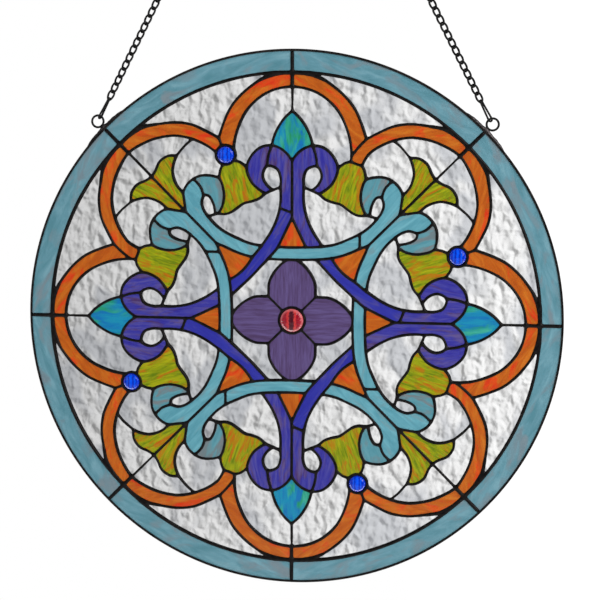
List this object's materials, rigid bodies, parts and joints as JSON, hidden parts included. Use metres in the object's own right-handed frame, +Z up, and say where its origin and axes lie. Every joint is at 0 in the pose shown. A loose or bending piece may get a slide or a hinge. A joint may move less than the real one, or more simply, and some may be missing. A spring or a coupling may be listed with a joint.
{
  "type": "stained glass panel",
  "caption": "Round stained glass panel of crossing straps, bell flowers and lobes round a red jewel, hung by a chain from two rings on its rim.",
  "frame": {"origin": "the chain's middle link, at the top of the chain, where the panel hangs on a hook", "axes": "+Z up, the panel stands in the XZ plane and its front faces -Y"},
  "size_m": [0.56, 0.0091, 0.875],
  "materials": {
    "solder": "solder beads with a black patina, satin",
    "rim_metal": "thin channel with a black patina, satin",
    "chain_metal": "blackened steel wire, satin",
    "clear_glass": "clear glass with a hammered face; the straps fused into the field are light blue and blue-violet on the real panel",
    "light_blue_glass": "streaky translucent glass, gloss",
    "orange_glass": "streaky opalescent glass, gloss",
    "teal_glass": "mottled translucent glass, gloss",
    "yellow_green_glass": "streaky opalescent glass, gloss",
    "purple_glass": "finely streaked translucent glass, gloss",
    "ruby_glass": "cast ribbed jewel, high gloss",
    "cobalt_glass": "smooth round nugget, high gloss"
  },
  "bodies": {
    "root": {"bell_flower_bottom_a": "yellow_green_glass", "bell_flower_bottom_b": "yellow_green_glass", "bell_flower_left_a": "yellow_green_glass", "bell_flower_left_b": "yellow_green_glass", "bell_flower_right_a": "yellow_green_glass", "bell_flower_right_b": "yellow_green_glass", "bell_flower_top_a": "yellow_green_glass", "bell_flower_top_b": "yellow_green_glass", "blue_border": "light_blue_glass", "bud_bottom": "teal_glass", "bud_left": "teal_glass", "bud_right": "teal_glass", "bud_top": "teal_glass", "centre_jewel": "ruby_glass", "chain": "chain_metal", "clear_field_and_straps": "clear_glass", "hanging_ring_left": "chain_metal", "hanging_ring_right": "chain_metal", "leaf_pair_lower_left": "yellow_green_glass", "leaf_pair_lower_right": "yellow_green_glass", "leaf_pair_upper_left": "yellow_green_glass", "leaf_pair_upper_right": "yellow_green_glass", "nugget_lower_left": "cobalt_glass", "nugget_lower_right": "cobalt_glass", "nugget_upper_left": "cobalt_glass", "nugget_upper_right": "cobalt_glass", "orange_arc_of_bud_bottom": "orange_glass", "orange_arc_of_bud_left": "orange_glass", "orange_arc_of_bud_right": "orange_glass", "orange_arc_of_bud_top": "orange_glass", "orange_arc_of_leaves_lower_left": "orange_glass", "orange_arc_of_leaves_lower_right": "orange_glass", "orange_arc_of_leaves_upper_left": "orange_glass", "orange_arc_of_leaves_upper_right": "orange_glass", "orange_corner_below_bud_bottom": "orange_glass", "orange_corner_below_bud_left": "orange_glass", "orange_corner_below_bud_right": "orange_glass", "orange_corner_below_bud_top": "orange_glass", "orange_corner_below_leaves_lower_left": "orange_glass", "orange_corner_below_leaves_lower_right": "orange_glass", "orange_corner_below_leaves_upper_left": "orange_glass", "orange_corner_below_leaves_upper_right": "orange_glass", "outer_clear_pane_bottom_a": "clear_glass", "outer_clear_pane_bottom_b": "clear_glass", "outer_clear_pane_left_a": "clear_glass", "outer_clear_pane_left_b": "clear_glass", "outer_clear_pane_right_a": "clear_glass", "outer_clear_pane_right_b": "clear_glass", "outer_clear_pane_top_a": "clear_glass", "outer_clear_pane_top_b": "clear_glass", "petal_bottom": "purple_glass", "petal_left": "purple_glass", "petal_right": "purple_glass", "petal_top": "purple_glass", "rim": "rim_metal", "rim_brace_left": "rim_metal", "rim_brace_right": "rim_metal", "solder_lines": "solder", "wire_hook_left": "chain_metal", "wire_hook_right": "chain_metal"}
  },
  "joints": []
}
